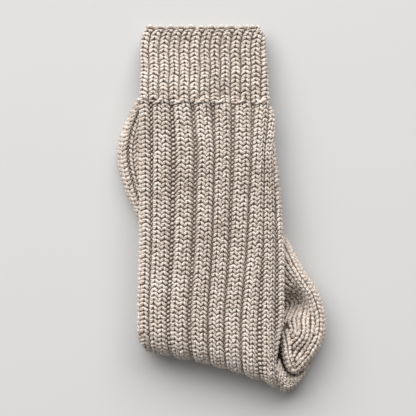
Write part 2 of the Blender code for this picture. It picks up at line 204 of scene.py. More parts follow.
def through(rows, spacing):
    """A smooth curve through the rows of a table, with a new row about every spacing."""
    rows = np.asarray(rows, float)
    made = []
    for index in range(len(rows) - 1):
        before, here = rows[max(index - 1, 0)], rows[index]
        after, beyond = rows[index + 1], rows[min(index + 2, len(rows) - 1)]
        steps = max(1, round(np.linalg.norm(after[:2] - here[:2]) / spacing))
        t = np.arange(steps)[:, None] / steps
        slope_here, slope_after = 0.5 * (after - before), 0.5 * (beyond - here)
        made.append((2 * t**3 - 3 * t**2 + 1) * here + (t**3 - 2 * t**2 + t) * slope_here
                    + (3 * t**2 - 2 * t**3) * after + (t**3 - t**2) * slope_after)
    return np.vstack(made + [rows[-1:]])


def look_up(value, places, table):
    """Rows of a table at values between its places."""
    return np.stack([np.interp(value, places, column) for column in table.T], -1)


def distances(line):
    """Distance along a line of points to each of them."""
    return np.append(0.0, np.cumsum(np.linalg.norm(np.diff(line, axis=0), axis=1)))


# %% [markdown]
# ## A flattened tube of knitting
#
# A tube is a row of sections, each with its left edge, its right edge and the direction that
# its front faces. A place on it is given as a knitter would give it: how far along, which
# stitch round, and how far out from the wall. Round the leg there are 56 stitches, and wide
# rib number k has its middle at stitch 4k. The front of the tube turns under at the fold,
# so the foot's front faces the table.

# %% Round a flattened ring
def oval(distance, width, half):
    """Across, up and the outward direction on a flattened ring, a distance round from its left."""
    quarter, girth = 0.5 * pi * half, 2.0 * (width - 2.0 * half + pi * half)
    distance = np.mod(distance, girth)
    under = distance > 0.5 * girth
    distance = np.where(under, girth - distance, distance)
    side = np.where(under, -1.0, 1.0)
    from_left, from_right = distance / half, (0.5 * girth - distance) / half
    turn = np.minimum(np.minimum(from_left, from_right), 0.5 * pi)
    at_left, at_right = from_left < 0.5 * pi, from_right < 0.5 * pi
    out_across = np.where(at_left, -np.cos(turn), np.where(at_right, np.cos(turn), 0.0))
    across = np.where(at_left, half + half * out_across, np.where(
        at_right, width - half + half * out_across, half + distance - quarter))
    return across, side * half * np.sin(turn), out_across, side * np.sin(turn)


def settle(points, is_leg):
    """Lower the legs where no foot is under them and the long edges, and bow the fold."""
    x, y, z = points[..., 0], points[..., 1], points[..., 2]
    past_toes = smooth_step(y, CUFF_DROP_FROM, CUFF_DROP_TO)
    foot_edge = np.interp(y, FOOT_SECTIONS[:, 3], FOOT_SECTIONS[:, 2])
    beside = smooth_step(x - foot_edge, 0.0, LEG_SAG_REACH)
    beside = beside * smooth_step(y, LEG_SAG_FROM, LEG_SAG_TO) * LEG_SAG / CUFF_DROP
    z = z - is_leg * CUFF_DROP * (1.0 - (1.0 - past_toes) * (1.0 - beside))
    reach = np.minimum(1.0, np.abs(x - STACK_CENTRE_X) / STACK_HALF_WIDTH)
    z = np.maximum(z * (1.0 - EDGE_DROOP * reach**3), TABLE_CLEAR)
    y = y + np.interp(x, *FOLD_BOW) * smooth_step(-y, -FOLD_BOW_FROM, -FOLD_BOW_TO)
    return np.stack((x, y, z), axis=-1)


# %% [markdown]
# Ribs are wide at the top of a knit stitch and drop into the purl valley. The wide ones lean
# a little: they are steep on their left and slope away on their right. The two curves below
# say how deep the cloth lies at a distance from the middle of a rib, in stitches.

# %% Ribs and valleys
WIDE_RIB = ((-2.0, -1.3, -1.0, -0.75, -0.5, -0.2, 0.0, 0.3, 0.5, 0.75, 1.0, 1.3, 2.0),
            (1.0, 0.82, 0.40, 0.14, 0.04, 0.0, 0.01, 0.08, 0.18, 0.38, 0.64, 0.90, 1.0))
NARROW_RIB = ((0.0, 0.3, 0.5, 0.7, 1.0), (0.0, 0.08, 0.35, 0.80, 1.0))


def valley(stitch, cuff, foot, facing_up):
    """Depth of the cloth at a stitch: knit two, purl two on the leg, knit one, purl one above."""
    from_wide = np.mod(stitch + 2.0, 4.0) - 2.0
    from_narrow = np.abs(np.mod(stitch + 0.5, 2.0) - 1.0)
    wide = np.interp(from_wide, *WIDE_RIB)
    narrow = np.interp(from_narrow, *NARROW_RIB)
    instep = smooth_step(np.cos(2.0 * pi * stitch / STITCHES), -0.05, 0.15)
    leg_depth = WIDE_VALLEY * wide * (1.0 - cuff) + CUFF_VALLEY * narrow * cuff
    shown = np.clip(1.0 + facing_up * (1.0 - 2.0 * foot), 0.0, 1.0)
    return shown * (leg_depth * (1.0 - foot) + FOOT_VALLEY * wide * instep * foot)


KNIT_LIMIT = 0.46              # most of a rib's pitch that one knit stitch may take
BEHIND_SHARE, FOOT_SHARE = 0.41, 0.42    # share of the pitch that a knit stitch takes there


def cuff_share(y):
    """0 on the leg, 1 on the cuff."""
    return smooth_step(y, CUFF_END - 2.5, CUFF_END + 0.5)


def stitch_bounds(y, girth, foot, slant, shift):
    """Distance round a section from its left edge to the start of each stitch. The slant is its
    length for its width in x, and the shift moves all its ribs."""
    share = np.interp(y, RIB_STATIONS[::-1], (2.0, 1.0, 0.0))
    low = int(min(share, 1.0))
    places = RIB_PLACES[:, low] + (RIB_PLACES[:, low + 1] - RIB_PLACES[:, low]) * (share - low)
    places = places - 0.5 * pi * PROUD     # they are measured round the solids
    places = slant * places + shift
    known, ribs = len(places) - 1, STITCHES // 4
    rest = np.arange(1, ribs - known + 1) / (ribs - known)
    places = np.append(places, places[-1] + (girth + places[0] - places[-1]) * rest)
    pitch = np.diff(places)
    knit = np.append(KNIT_WIDTHS, np.full(ribs - known, KNIT_WIDTH_BEHIND))
    knit = np.minimum(knit, KNIT_LIMIT * pitch)
    leg = np.stack((places[:-1], places[:-1] + knit, places[:-1] + 0.5 * pitch,
                    places[1:] - knit), axis=-1).ravel()
    # knit one, purl one: even columns across the front, the rest shared behind
    pairs, front = np.arange(STITCHES // 2), CUFF_COLUMNS
    front_pitch = 0.5 * (RIB_PLACES[1, 0] - RIB_PLACES[0, 0])
    middles = places[0] + front_pitch * (pairs + 0.5)
    back_pitch = (girth - front * front_pitch) / (len(pairs) - front)
    behind = np.arange(len(pairs) - front) + 0.5
    middles[front:] = places[0] + front * front_pitch + back_pitch * behind
    half_knit = np.where(pairs < front, 0.5 * CUFF_KNIT_WIDTH, BEHIND_SHARE * back_pitch)
    middles = middles - 0.25 * front_pitch
    narrow = np.stack((middles - half_knit, middles + half_knit), axis=-1).ravel()
    stitch = np.arange(STITCHES)
    even = stitch * girth / STITCHES
    on_foot = np.minimum(KNIT_WIDTH, FOOT_SHARE * 4.0 * girth / STITCHES) - girth / STITCHES
    instep = np.cos(2.0 * pi * stitch / STITCHES) > 0.0
    even = even + instep * on_foot * (stitch % 4 == 1) - instep * on_foot * (stitch % 4 == 3)
    cuff = cuff_share(y)
    mixed = (leg * (1.0 - cuff) + narrow * cuff) * (1.0 - foot) + even * foot
    return np.append(mixed, mixed[0] + girth)


# %% The tube itself
FRAME_VALUES = 13              # values of a section before the starts of its stitches


class Tube:
    """One sock's tube, from the mouth of its cuff to its toe."""

    def __init__(self, leg, foot, inset_left, inset_right, inset_mouth, most_right):
        middle, foot_middle = LAYER_MIDDLE[leg], LAYER_MIDDLE[foot]
        sections = []

        def add(left, right, out, half, is_leg, foot_share, shift=0.0):
            left, right = np.array(left), np.array(right)
            across = (right - left) / np.linalg.norm(right - left)
            left = left + across * (inset_left + PROUD)
            right = right - across * (inset_right + PROUD)
            half = half - PROUD
            girth = 2.0 * (np.linalg.norm(right - left) - 2.0 * half + pi * half)
            y = 0.5 * (left[1] + right[1])
            cuff = cuff_share(y) * (1.0 - foot_share)
            sections.append(np.concatenate((
                left, right, out, (half, is_leg, foot_share, cuff),
                stitch_bounds(y, girth, foot_share, 1.0 / across[0], shift))))

        rows = LEG_SECTIONS.copy()
        rows[:, 2] = np.minimum(rows[:, 2], most_right)
        rows[:2, (1, 3)] -= inset_mouth
        for row in through(rows, SECTION_STEP)[:-1]:
            add((*row[0:2], middle), (*row[2:4], middle), UP, row[4], 1.0, 0.0)
        self.fold_from = len(sections)
        for turn in np.linspace(0.0, pi, FOLD_STEPS + 1):
            out = UP * cos(turn) + FOLD_OUT * sin(turn)
            lift = UP * FOLD_HEIGHT + out * 0.5 * (middle - foot_middle)
            ends, tuck = [], FOLD_TUCK * sin(turn)**3
            for x in (FOLD_LEFT + tuck, FOLD_RIGHT + FOLD_FLARE * sin(turn)):
                y = FOLD_POINT[1] + (x - FOLD_POINT[0]) * tan(FOLD_ANGLE)
                ends.append(np.array((x, y, 0.0)) + lift)
            # a rib stays straight on the cloth, so it runs along the slanting fold as it turns
            shift = -tan(FOLD_ANGLE) * (0.5 * (middle - foot_middle) + TUBE_HALF) * turn - tuck
            add(*ends, out, TUBE_HALF, 1.0, smooth_step(turn, 0.5 * pi, pi), shift)
        self.fold_to = len(sections) - 1
        for row in through(FOOT_SECTIONS, SECTION_STEP):
            low = foot_middle - TUBE_HALF + row[4]
            add((*row[0:2], low), (*row[2:4], low), -UP, row[4], 0.0, 1.0)
        self.sections = np.array(sections)
        self.last = len(sections) - 1

    def at(self, along, stitch, lift):
        """Points on the tube, in millimetres."""
        along, stitch, lift = np.broadcast_arrays(
            *(np.asarray(value, float) for value in (along, stitch, lift)))
        along = np.clip(along, 0.0, self.last - 1e-6)
        near = along.astype(int)
        share = along - near
        frames, bounds = np.split(self.sections, (FRAME_VALUES,), axis=1)
        values = frames[near] * (1 - share)[..., None] + frames[near + 1] * share[..., None]
        left, right, out = values[..., 0:3], values[..., 3:6], values[..., 6:9]
        half, is_leg, foot, cuff = (values[..., index] for index in range(9, FRAME_VALUES))
        out = out / np.linalg.norm(out, axis=-1, keepdims=True)
        width = np.linalg.norm(right - left, axis=-1)
        across = (right - left) / width[..., None]
        around = stitch - np.floor(stitch / STITCHES) * STITCHES
        low = np.minimum(around.astype(int), STITCHES - 1)
        start, end = (bounds[near, edge] * (1 - share) + bounds[near + 1, edge] * share
                      for edge in (low, low + 1))
        distance = start + (end - start) * (around - low)
        place, rise, out_across, facing_up = oval(distance, width, half)
        pulled_flat = 1.0 - FOLD_PULL * (1.0 - out[..., 2]**2)    # the fold pulls the ribs flat
        push = lift - pulled_flat * valley(stitch, cuff, foot, facing_up)
        spot = (left + across * (place + out_across * push)[..., None]
                + out * (rise + facing_up * push)[..., None])
        return settle(spot, is_leg)

    def line(self, stitch):
        """The sections, and the distance to each down a column of stitches, from the mouth."""
        places = np.arange(self.last + 1.0)
        return places, distances(self.at(places, stitch, 0.0))


upper = Tube("upper_leg", "upper_foot",
             inset_left=0.0, inset_right=0.0, inset_mouth=2.4, most_right=48.1)
lower = Tube("lower_leg", "lower_foot",
             inset_left=2.0, inset_right=4.5, inset_mouth=3.4, most_right=45.0)
print("sections of a sock:", upper.last + 1, "fold from", upper.fold_from, "to", upper.fold_to)
print("length of the upper sock, mm:", round(float(upper.line(FRONT_MIDDLE)[1][-1]), 1))

# %% [markdown]
# ## Wool
#
# The yarn is an undyed heathered wool: cream fibres with taupe ones, two plies twisted
# together. The finish is a noise in three sizes that runs through three colours, a twist that
# follows each strand through its own UV map, and a soft sheen for the halo of fibres.
# The wall behind the stitches is the same wool, but its colour is painted dark: painted shade for
# the deep gaps between the strands.

# %% Finish of the wool
def wool(name, dark, middle, light, twist):
    """Heathered wool. A strand has a UV map, round it in u and along it in v."""
    finish = bpy.data.materials.new(name)
    finish.use_nodes = True
    nodes, links = finish.node_tree.nodes, finish.node_tree.links
    surface = nodes["Principled BSDF"]
    set_inputs(surface, {"Roughness": 0.92, "Specular IOR Level": 0.25, "Sheen Weight": 0.35,
                         "Sheen Roughness": 0.6, "Sheen Tint": (1.0, 0.96, 0.92, 1.0)})
    place = nodes.new("ShaderNodeTexCoord")

    def noise(scale, detail, roughness):
        node = nodes.new("ShaderNodeTexNoise")
        set_inputs(node, {"Scale": scale, "Detail": detail, "Roughness": roughness})
        links.new(place.outputs["Object"], node.inputs["Vector"])
        return node

    heather = noise(900.0, 3.0, 0.65)
    mixed = heather.outputs["Fac"]
    for scale, share in ((280.0, 0.45), (28.0, 0.25)):
        sum_of = nodes.new("ShaderNodeMath")
        sum_of.operation = "MULTIPLY_ADD"
        sum_of.inputs[1].default_value = share
        links.new(noise(scale, 2.0, 0.5).outputs["Fac"], sum_of.inputs[0])
        links.new(mixed, sum_of.inputs[2])
        mixed = sum_of.outputs["Value"]
    ramp = nodes.new("ShaderNodeValToRGB")
    first, last = ramp.color_ramp.elements
    first.position, first.color = 0.66, (*dark, 1.0)
    last.position, last.color = 1.0, (*light, 1.0)
    ramp.color_ramp.elements.new(0.83).color = (*middle, 1.0)
    links.new(mixed, ramp.inputs["Fac"])
    links.new(ramp.outputs["Color"], surface.inputs["Base Color"])
    fibres = nodes.new("ShaderNodeBump")
    set_inputs(fibres, {"Strength": 0.5, "Distance": 0.0003})
    links.new(heather.outputs["Fac"], fibres.inputs["Height"])
    links.new(fibres.outputs["Normal"], surface.inputs["Normal"])
    if twist:
        plies = nodes.new("ShaderNodeTexWave")
        plies.wave_type, plies.bands_direction = "BANDS", "DIAGONAL"
        set_inputs(plies, {"Scale": 2.0, "Distortion": 1.2, "Detail": 1.0})
        links.new(place.outputs["UV"], plies.inputs["Vector"])
        ply_bump = nodes.new("ShaderNodeBump")
        set_inputs(ply_bump, {"Strength": 0.6, "Distance": 0.0004})
        links.new(plies.outputs["Fac"], ply_bump.inputs["Height"])
        links.new(fibres.outputs["Normal"], ply_bump.inputs["Normal"])
        links.new(ply_bump.outputs["Normal"], surface.inputs["Normal"])
    return finish


yarn_wool = wool("heathered wool yarn",
                 (0.31, 0.242, 0.201), (0.66, 0.558, 0.483), (0.86, 0.795, 0.73), True)
# Painted shade: the wall's wool is painted dark, for the shade deep in the gaps between the strands
shade_painted_wool = wool("wool painted with shade",
                 (0.07, 0.052, 0.041), (0.13, 0.098, 0.078), (0.22, 0.17, 0.14), False)
print("finishes:", yarn_wool.name + ",", shade_painted_wool.name)

# %% [markdown]
# ## The wall of cloth
#
# Each sock is one closed wall: an outer surface with the ribs in it, a rounded rim at the
# mouth, and an inner surface one thickness of knitting further in.

# %% Walls of the two socks
def to_piece(mesh, finish):
    """A smooth object of a mesh, under the same name."""
    mesh.materials.append(finish)
    mesh.shade_smooth()
    piece = bpy.data.objects.new(mesh.name, mesh)
    bpy.context.scene.collection.objects.link(piece)
    print(piece.name, "faces:", len(mesh.polygons))
    return piece


def make_cloth(name, points, faces):
    """A wall of cloth from points in millimetres, in the wool painted dark as shade."""
    mesh = bpy.data.meshes.new(name)
    mesh.from_pydata((points * MM).tolist(), [], faces.tolist())
    return to_piece(mesh, shade_painted_wool)


def lattice(rows, columns):
    """Faces between rows of points that close round."""
    row, column = np.meshgrid(np.arange(rows - 1), np.arange(columns), indexing="ij")
    after = (column + 1) % columns
    return np.stack((row * columns + column, row * columns + after,
                     (row + 1) * columns + after, (row + 1) * columns + column), -1).reshape(-1, 4)


def make_wall(name, tube):
    """The closed wall of one sock, its toe drawn together."""
    stitches = np.arange(0.0, STITCHES, 0.5)
    outer_rows = np.arange(0.0, tube.last + 0.5, 1.0)
    inner_rows = outer_rows[::-4]
    rings = [tube.at(row, stitches, 0.0) for row in outer_rows]
    toe = rings[-1].mean(axis=0)
    rings += [toe + (rings[-1] - toe) * share for share in (0.5, 0.02)]
    last_inner = tube.at(inner_rows[0], stitches, -WALL)
    rings += [toe + (last_inner - toe) * share for share in (0.02, 0.5)]
    rings += [tube.at(row, stitches, -WALL) for row in inner_rows]
    rim = tube.at(0.0, stitches, -0.5 * WALL)
    rim[:, 1] += 0.4 * WALL
    rings.append(rim)
    rings.append(rings[0])
    points = np.vstack(rings[:-1])
    faces = lattice(len(rings), len(stitches))
    faces = np.where(faces >= len(points), faces - len(points), faces)
    return make_cloth(name, points, faces)


upper_wall = make_wall("upper_sock_wall", upper)
lower_wall = make_wall("lower_sock_wall", lower)

# %% [markdown]
# ## One strand of yarn
#
# A knit stitch shows as two plump strands that meet in a point at the top. One strand is
# modelled once, from a small sphere of a few sides: it is thin where it comes up through the
# stitch before it, and fullest below the middle. Its length is then taken along a path.

# %% A strand to copy
# Place along a strand, and its share of the full thickness there
KNIT_FULLNESS = ((0.0, 0.08, 0.25, 0.50, 0.75, 0.92, 1.0), (0.0, 0.42, 0.78, 1.0, 1.0, 0.66, 0.0))
BEAD_FULLNESS = ((0.0, 0.20, 0.50, 0.80, 1.0), (0.0, 0.80, 1.0, 0.80, 0.0))


def model_strand(sides, rings, fullness):
    """Angle round, place along, thickness, faces and UV map of one strand, from a sphere."""
    bpy.ops.object.select_all(action="DESELECT")
    bpy.ops.mesh.primitive_uv_sphere_add(segments=sides, ring_count=rings, radius=1.0)
    ball = bpy.context.object
    mesh = ball.data
    co = np.array([vertex.co for vertex in mesh.vertices])
    # the faces of a new sphere come in no fixed order, so they are sorted
    in_order = sorted(mesh.polygons, key=lambda face: tuple(face.vertices))
    faces = [tuple(face.vertices) for face in in_order]
    corners = np.concatenate([face.loop_indices for face in in_order])
    maps = np.array([mesh.uv_layers[0].data[corner].uv for corner in corners])
    bpy.data.objects.remove(ball)
    along = np.arccos(np.clip(co[:, 2], -1.0, 1.0)) / pi
    return {"along": along, "thick": np.interp(along, *fullness), "faces": faces, "maps": maps,
            "around": np.arctan2(co[:, 1], co[:, 0])}


STRAND = model_strand(6, 6, KNIT_FULLNESS)
PLAIN_STRAND = model_strand(5, 5, KNIT_FULLNESS)
BEAD = model_strand(6, 4, BEAD_FULLNESS)
print("points in a strand:", len(STRAND["along"]), "and in a bead:", len(BEAD["along"]))


def strand_shape(strand, path, radius, tall=1.0, width=KNIT_WIDTH):
    """Stitch, row and height of a strand's points. The path is a table of stitch, row, height."""
    path = np.asarray(path, float)
    shape = look_up(strand["along"], np.linspace(0.0, 1.0, len(path)), path)
    lead = (path[-1] - path[0])[:2] * (width, ROW)
    lead /= np.linalg.norm(lead)
    reach = radius * strand["thick"]
    sideways = reach * np.cos(strand["around"])
    shape[:, 0] -= sideways * lead[1] / width
    shape[:, 1] += sideways * lead[0] / ROW
    shape[:, 2] += reach * np.sin(strand["around"]) * tall
    return shape


# %% [markdown]
# ## Laying stitches on the cloth
#
# Every stitch of a column is the same strand at the next row. Hand knitting is never even,
# so each one is moved, turned and fattened a little.

# %% Laying strands
# How uneven the knitting is: in width, in stitches, in rows, in height, in millimetres of height
UNEVEN = np.array((0.05, 0.025, 0.06, 0.06, 0.10))[:, None, None]
pieces = {}


class Strands:
    """Collects the strands of one piece, then makes one mesh of them all."""

    def __init__(self, name, strand):
        self.name, self.strand, self.points = name, strand, []

    def lay(self, place, shape, stitch, rows):
        """Copy a shape to each row. place() turns along, stitch and lift to a point."""
        wider, sideways, along, taller, up = RNG.normal(0.0, 1.0, (5, len(rows), 1)) * UNEVEN
        stitch = stitch + shape[:, 0] * (1.0 + wider) + sideways
        along = rows[:, None] - (shape[:, 1] + along) * ROW
        lift = shape[:, 2] * (1.0 + taller) + up
        self.points.append(place(along, stitch, lift).reshape(-1, 3))

    def finish(self):
        """One mesh of all the strands, each with the strand's own UV map."""
        points, size = np.vstack(self.points) * MM, len(self.strand["along"])
        copies = len(points) // size
        corners = np.concatenate(self.strand["faces"])
        sizes = np.tile([len(face) for face in self.strand["faces"]], copies)
        loops = (corners + size * np.arange(copies)[:, None]).ravel()
        mesh = bpy.data.meshes.new(self.name)
        mesh.vertices.add(len(points))
        mesh.vertices.foreach_set("co", points.astype(np.float32).ravel())
        mesh.loops.add(len(loops))
        mesh.loops.foreach_set("vertex_index", loops)
        mesh.polygons.add(len(sizes))
        mesh.polygons.foreach_set("loop_start", np.append(0, np.cumsum(sizes)[:-1]))
        mesh.uv_layers.new(name="strand").data.foreach_set(
            "uv", np.tile(self.strand["maps"].ravel(), copies))
        mesh.update(calc_edges=True)
        mesh.validate()
        pieces[self.name] = to_piece(mesh, yarn_wool)


def column_of(cloth, stitch, start, end, phase):
    """Rows down one column between two places along, and a place() for its strands."""
    places, lengths = cloth.line(stitch)
    first, last = np.interp((start, end), places, lengths)
    count_from, count_to = np.ceil(first / ROW - phase), np.floor(last / ROW - phase)
    rows = (np.arange(count_from, count_to + 0.5) + phase) * ROW
    if hasattr(cloth, "keep"):
        rows = rows[cloth.keep(np.interp(rows, lengths, places), stitch)]

    def place(along, stitch, lift):
        return cloth.at(np.interp(along, lengths, places), stitch, lift)

    return rows, place


# The left strand of a knit stitch: stitch, row and height above the wall, from its tip down
LEFT_LEG = np.array(((-0.01, 0.62, 0.35), (-0.12, 0.32, 0.95), (-0.27, 0.0, 1.15),
                     (-0.41, -0.34, 0.75), (-0.52, -0.60, 0.05)))
HEEL_LEG = np.array(((-0.13, 0.78, 0.1), (-0.18, 0.38, 0.9), (-0.26, 0.0, 1.05),
                     (-0.33, -0.40, 0.7), (-0.39, -0.78, 0.0)))
MIRROR = np.array((-1.0, 1.0, 1.0))


def knit_columns(strands, cloth, stitches, start, end, radius=YARN, leg=LEFT_LEG, width=KNIT_WIDTH):
    """Knit columns, two strands to a stitch."""
    left = strand_shape(strands.strand, leg, radius, width=width)
    right = strand_shape(strands.strand, leg * MIRROR, radius, width=width)
    for stitch in stitches:
        rows, place = column_of(cloth, stitch, start, end, 0.5)
        for shape in (left, right):
            strands.lay(place, shape, stitch, rows)


# The bars of a purl valley, as paths too: the middle one, and the one at its left
BAR = ((-0.62, -0.16, 0.5), (0.0, 0.06, 1.1), (0.62, 0.10, 0.5))
BESIDE = ((-1.25, 0.12, 0.6), (-0.90, 0.0, 1.1), (-0.50, -0.22, 0.4))


def purl_valleys(strands, cloth, middles, start, end, radius=1.0, stretch=1.0, sunk=0.0):
    """Purl two: a bar in the middle of each row and one on either side, half a row off."""
    spread = np.array((stretch, 1.0, 1.0))
    bar, beside = (np.array(path) * spread - (0.0, 0.0, sunk) for path in (BAR, BESIDE))
    for middle in middles:
        for path, phase in ((bar, 0.5), (beside, 0.0), (beside * MIRROR, 0.0)):
            rows, place = column_of(cloth, middle, start, end, phase)
            shape = strand_shape(strands.strand, path, radius, tall=0.9)
            strands.lay(place, shape, middle, rows)


# %% [markdown]
# ## The heel
#
# The heel of the upper sock stands out as a pocket with its side pushed in. Its columns of
# stitches run round it at an even distance from its rim, so the heel is described that way:
# along the rim, and across it in columns, down the outside and in over the top.

# %% The heel's surface
# Outline, x and y, and the height of the rim there
HEEL_OUTLINE = np.array((
    (45.0, -18.9, 8.0), (51.0, -24.3, 13.0), (55.1, -32.0, 18.5), (60.2, -42.0, 24.5),
    (65.4, -50.4, 27.0), (69.7, -56.6, 27.0), (74.8, -65.1, 26.0), (77.8, -73.5, 25.0),
    (80.1, -82.5, 24.0), (80.4, -91.5, 24.0), (78.9, -100.0, 25.0), (76.0, -106.8, 26.0),
    (72.1, -113.2, 27.0), (67.6, -119.0, 28.0), (63.4, -124.0, 29.0), (59.3, -127.2, 30.0),
    (55.4, -127.6, 31.0), (52.0, -125.2, 31.0), (49.4, -120.6, 31.0), (47.4, -113.0, 30.0),
    (45.9, -104.0, 27.0), (43.9, -92.0, 23.0),
    (43.2, -78.2, 18.0), (43.2, -62.8, 16.0), (43.2, -47.4, 16.0), (43.4, -32.0, 12.0),
))
HEEL_RIM_ROWS = 22             # the rim that shows: the rest is under the leg
HEEL_SPINE = np.array(((46.2, -26.6), (48.1, -70.5), (50.6, -93.6), (55.6, -118.5)))
HEEL_COLUMN = 7.4              # two strands to a stitch, wider than on the leg
HEEL_FLOOR, HEEL_LEAST = 21.0, 7.2    # its side lies this high, and never lower than this
HEEL_BAND = 8.0                # width of the band on its inner side
# Hollows and bumps in its side: x, y, reach in x, reach in y, height
HEEL_DENTS = ((47.0, -20.0, 9.0, 13.0, -10.0), (54.0, -73.0, 12.5, 9.0, -15.5),
              (61.0, -99.5, 11.5, 13.0, 10.0))
# Down the outside of the rim: column, distance in from the outline, share of the rim's height
HEEL_SIDE = np.array((
    (-3.6, 4.8, 0.0), (-3.0, 1.3, 0.12), (-2.4, 0.2, 0.28), (-1.8, 0.0, 0.45),
    (-1.2, 0.2, 0.63), (-0.6, 0.9, 0.82), (-0.25, 2.4, 0.94), (0.0, 4.2, 1.0),
))
HEEL_COLUMNS = 5.0             # as far in as the columns are laid
HEEL_REACH = 42.0              # as far in as its surface is measured
RIM_STEP, INSET_STEP, COLUMN_STEP = 2.0, 0.5, 0.25    # spacing of what is measured
STITCH_MARGIN = 1.5            # how far stitches of two sides may overlap where they meet
LEG_EDGE = 42.5                # x that the leg hides the heel up to
SIDE_FROM, SIDE_TO = 5.0, 14.0    # distances from the rim between which its side drops
RIM_BLEND = 2.5                # how far points of the rim share their heights
ASIDE_ALONG, ASIDE_ACROSS = 0.6, 0.12    # how far aside a surface is felt for its direction


class Cloth:
    """A surface of rows and columns that strands are laid on. facing is -1 where the columns
    run the other way round it."""

    facing = 1.0

    def at(self, along, column, lift):
        """Points at a height above the wall, in millimetres."""
        along, column, lift = np.broadcast_arrays(along, np.asarray(column, float), lift)
        lead = (self.surface(along + ASIDE_ALONG, column)
                - self.surface(along - ASIDE_ALONG, column))
        across = (self.surface(along, column + ASIDE_ACROSS)
                  - self.surface(along, column - ASIDE_ACROSS))
        out = self.facing * np.cross(across, lead)
        out /= np.maximum(np.linalg.norm(out, axis=-1, keepdims=True), 1e-9)
        spot = self.surface(along, column) + out * (lift - PROUD)[..., None]
        spot[..., 2] = np.maximum(spot[..., 2], TABLE_CLEAR)
        return spot

    def line(self, column):
        """Places along a column, and the distance to each."""
        return self.places, distances(self.surface(self.places, float(column)))


class Heel(Cloth):
    """The heel's surface: along its rim in millimetres, across it in columns."""

    def __init__(self):
        closed = np.vstack((HEEL_OUTLINE, HEEL_OUTLINE[:1]))
        dense = through(closed, 0.5)
        from_end = dense[:, :2] - HEEL_OUTLINE[HEEL_RIM_ROWS - 1, :2]
        self.rim = dense[:int(np.argmin(np.linalg.norm(from_end, axis=1)))]
        self.bottom = int(np.argmin(self.rim[:, 1]))
        self.length = distances(self.rim[:, :2])
        self.places = np.arange(0.0, self.length[-1], 1.0)
        lead = np.gradient(self.rim[:, :2], axis=0)
        kernel = np.hanning(25) / np.hanning(25).sum()
        lead = np.stack(
            [np.convolve(np.pad(v, 12, mode="edge"), kernel, "valid") for v in lead.T], -1)
        lead /= np.linalg.norm(lead, axis=1)[:, None]
        self.inward = np.stack((lead[:, 1], -lead[:, 0]), -1)
        # how far in from the rim each column lies, measured over the surface
        self.stations = np.arange(0.0, self.length[-1], RIM_STEP)
        insets = np.arange(HEEL_SIDE[-1, 1], HEEL_REACH, INSET_STEP)
        rim = look_up(self.stations, self.length, self.rim[:, :2])
        inward = look_up(self.stations, self.length, self.inward)
        plan = rim[:, None] + inward[:, None] * insets[None, :, None]
        rise = np.diff(self.height(plan), axis=1)
        over = np.cumsum(np.hypot(rise, INSET_STEP), axis=1) / HEEL_COLUMN
        over = np.hstack((np.zeros((len(over), 1)), over))
        self.columns = np.arange(0.0, HEEL_COLUMNS + 0.3, COLUMN_STEP)
        self.inset_table = np.array([np.interp(self.columns, row, insets) for row in over])

    def distance(self, plan, part=slice(None)):
        """Distance from points to the rim, seen from above, and the rim's height near them."""
        rim = self.rim[part][::4]
        gap = np.linalg.norm(plan.reshape(-1, 1, 2) - rim[None, :, :2], axis=-1)
        nearest = gap.min(axis=1)
        weight = np.exp(-(gap - nearest[:, None]) / RIM_BLEND)
        height = (weight * rim[:, 2]).sum(axis=1) / weight.sum(axis=1)
        return nearest.reshape(plan.shape[:-1]), height.reshape(plan.shape[:-1])

    def height(self, plan):
        """Height of the heel's pushed-in side at points seen from above."""
        nearest, rim = self.distance(plan)
        side = np.full(nearest.shape, HEEL_FLOOR)
        for x, y, reach_x, reach_y, rise in HEEL_DENTS:
            over, along = (plan[..., 0] - x) / reach_x, (plan[..., 1] - y) / reach_y
            side = side + rise * np.exp(-over**2 - along**2)
        down = smooth_step(nearest, SIDE_FROM, SIDE_TO)
        return rim + (np.maximum(side, HEEL_LEAST) - rim) * down

    def inset(self, along, column):
        """How far in from the rim a column lies, seen from above."""
        row = np.clip(along / RIM_STEP, 0.0, len(self.stations) - 1.001)
        cell = np.clip(column / COLUMN_STEP, 0.0, len(self.columns) - 1.001)
        low, first = row.astype(int), cell.astype(int)
        down, over = row - low, cell - first
        table = self.inset_table
        near, far = (table[low, place] * (1 - down) + table[low + 1, place] * down
                     for place in (first, first + 1))
        inner = near * (1 - over) + far * over
        outer = np.interp(column, HEEL_SIDE[:, 0], HEEL_SIDE[:, 1])
        return np.where(column <= 0.0, outer, inner)

    def surface(self, along, column):
        along, column = np.broadcast_arrays(along, column)
        inset = self.inset(along, column)
        rim = look_up(along, self.length, self.rim)
        plan = rim[..., :2] + look_up(along, self.length, self.inward) * inset[..., None]
        side = rim[..., 2] * np.interp(column, HEEL_SIDE[:, 0], HEEL_SIDE[:, 2])
        z = np.where(column <= 0.0, side, self.height(plan))
        return np.concatenate((plan, z[..., None]), axis=-1)

    def keep(self, along, column):
        """Leave out stitches that would cross others: the columns from the outer side of the heel
        run in until they meet the narrow band on its inner side."""
        plan = self.surface(along, np.full(len(along), column))[:, :2]
        inset = self.inset(along, np.full(len(along), column))
        to_outer = self.distance(plan, slice(0, self.bottom))[0]
        to_band = self.distance(plan, slice(self.bottom, None))[0]
        clear = to_outer > inset - STITCH_MARGIN
        outer = clear & (to_band > HEEL_BAND) & (plan[:, 0] > LEG_EDGE)
        band = clear & (inset < HEEL_BAND + 0.5)
        before_bottom = along < self.length[self.bottom]
        return np.where(before_bottom, outer | (inset < HEEL_BAND), band) | (column <= 0.0)


heel = Heel()
print("rim of the heel, mm:", round(float(heel.length[-1]), 1))

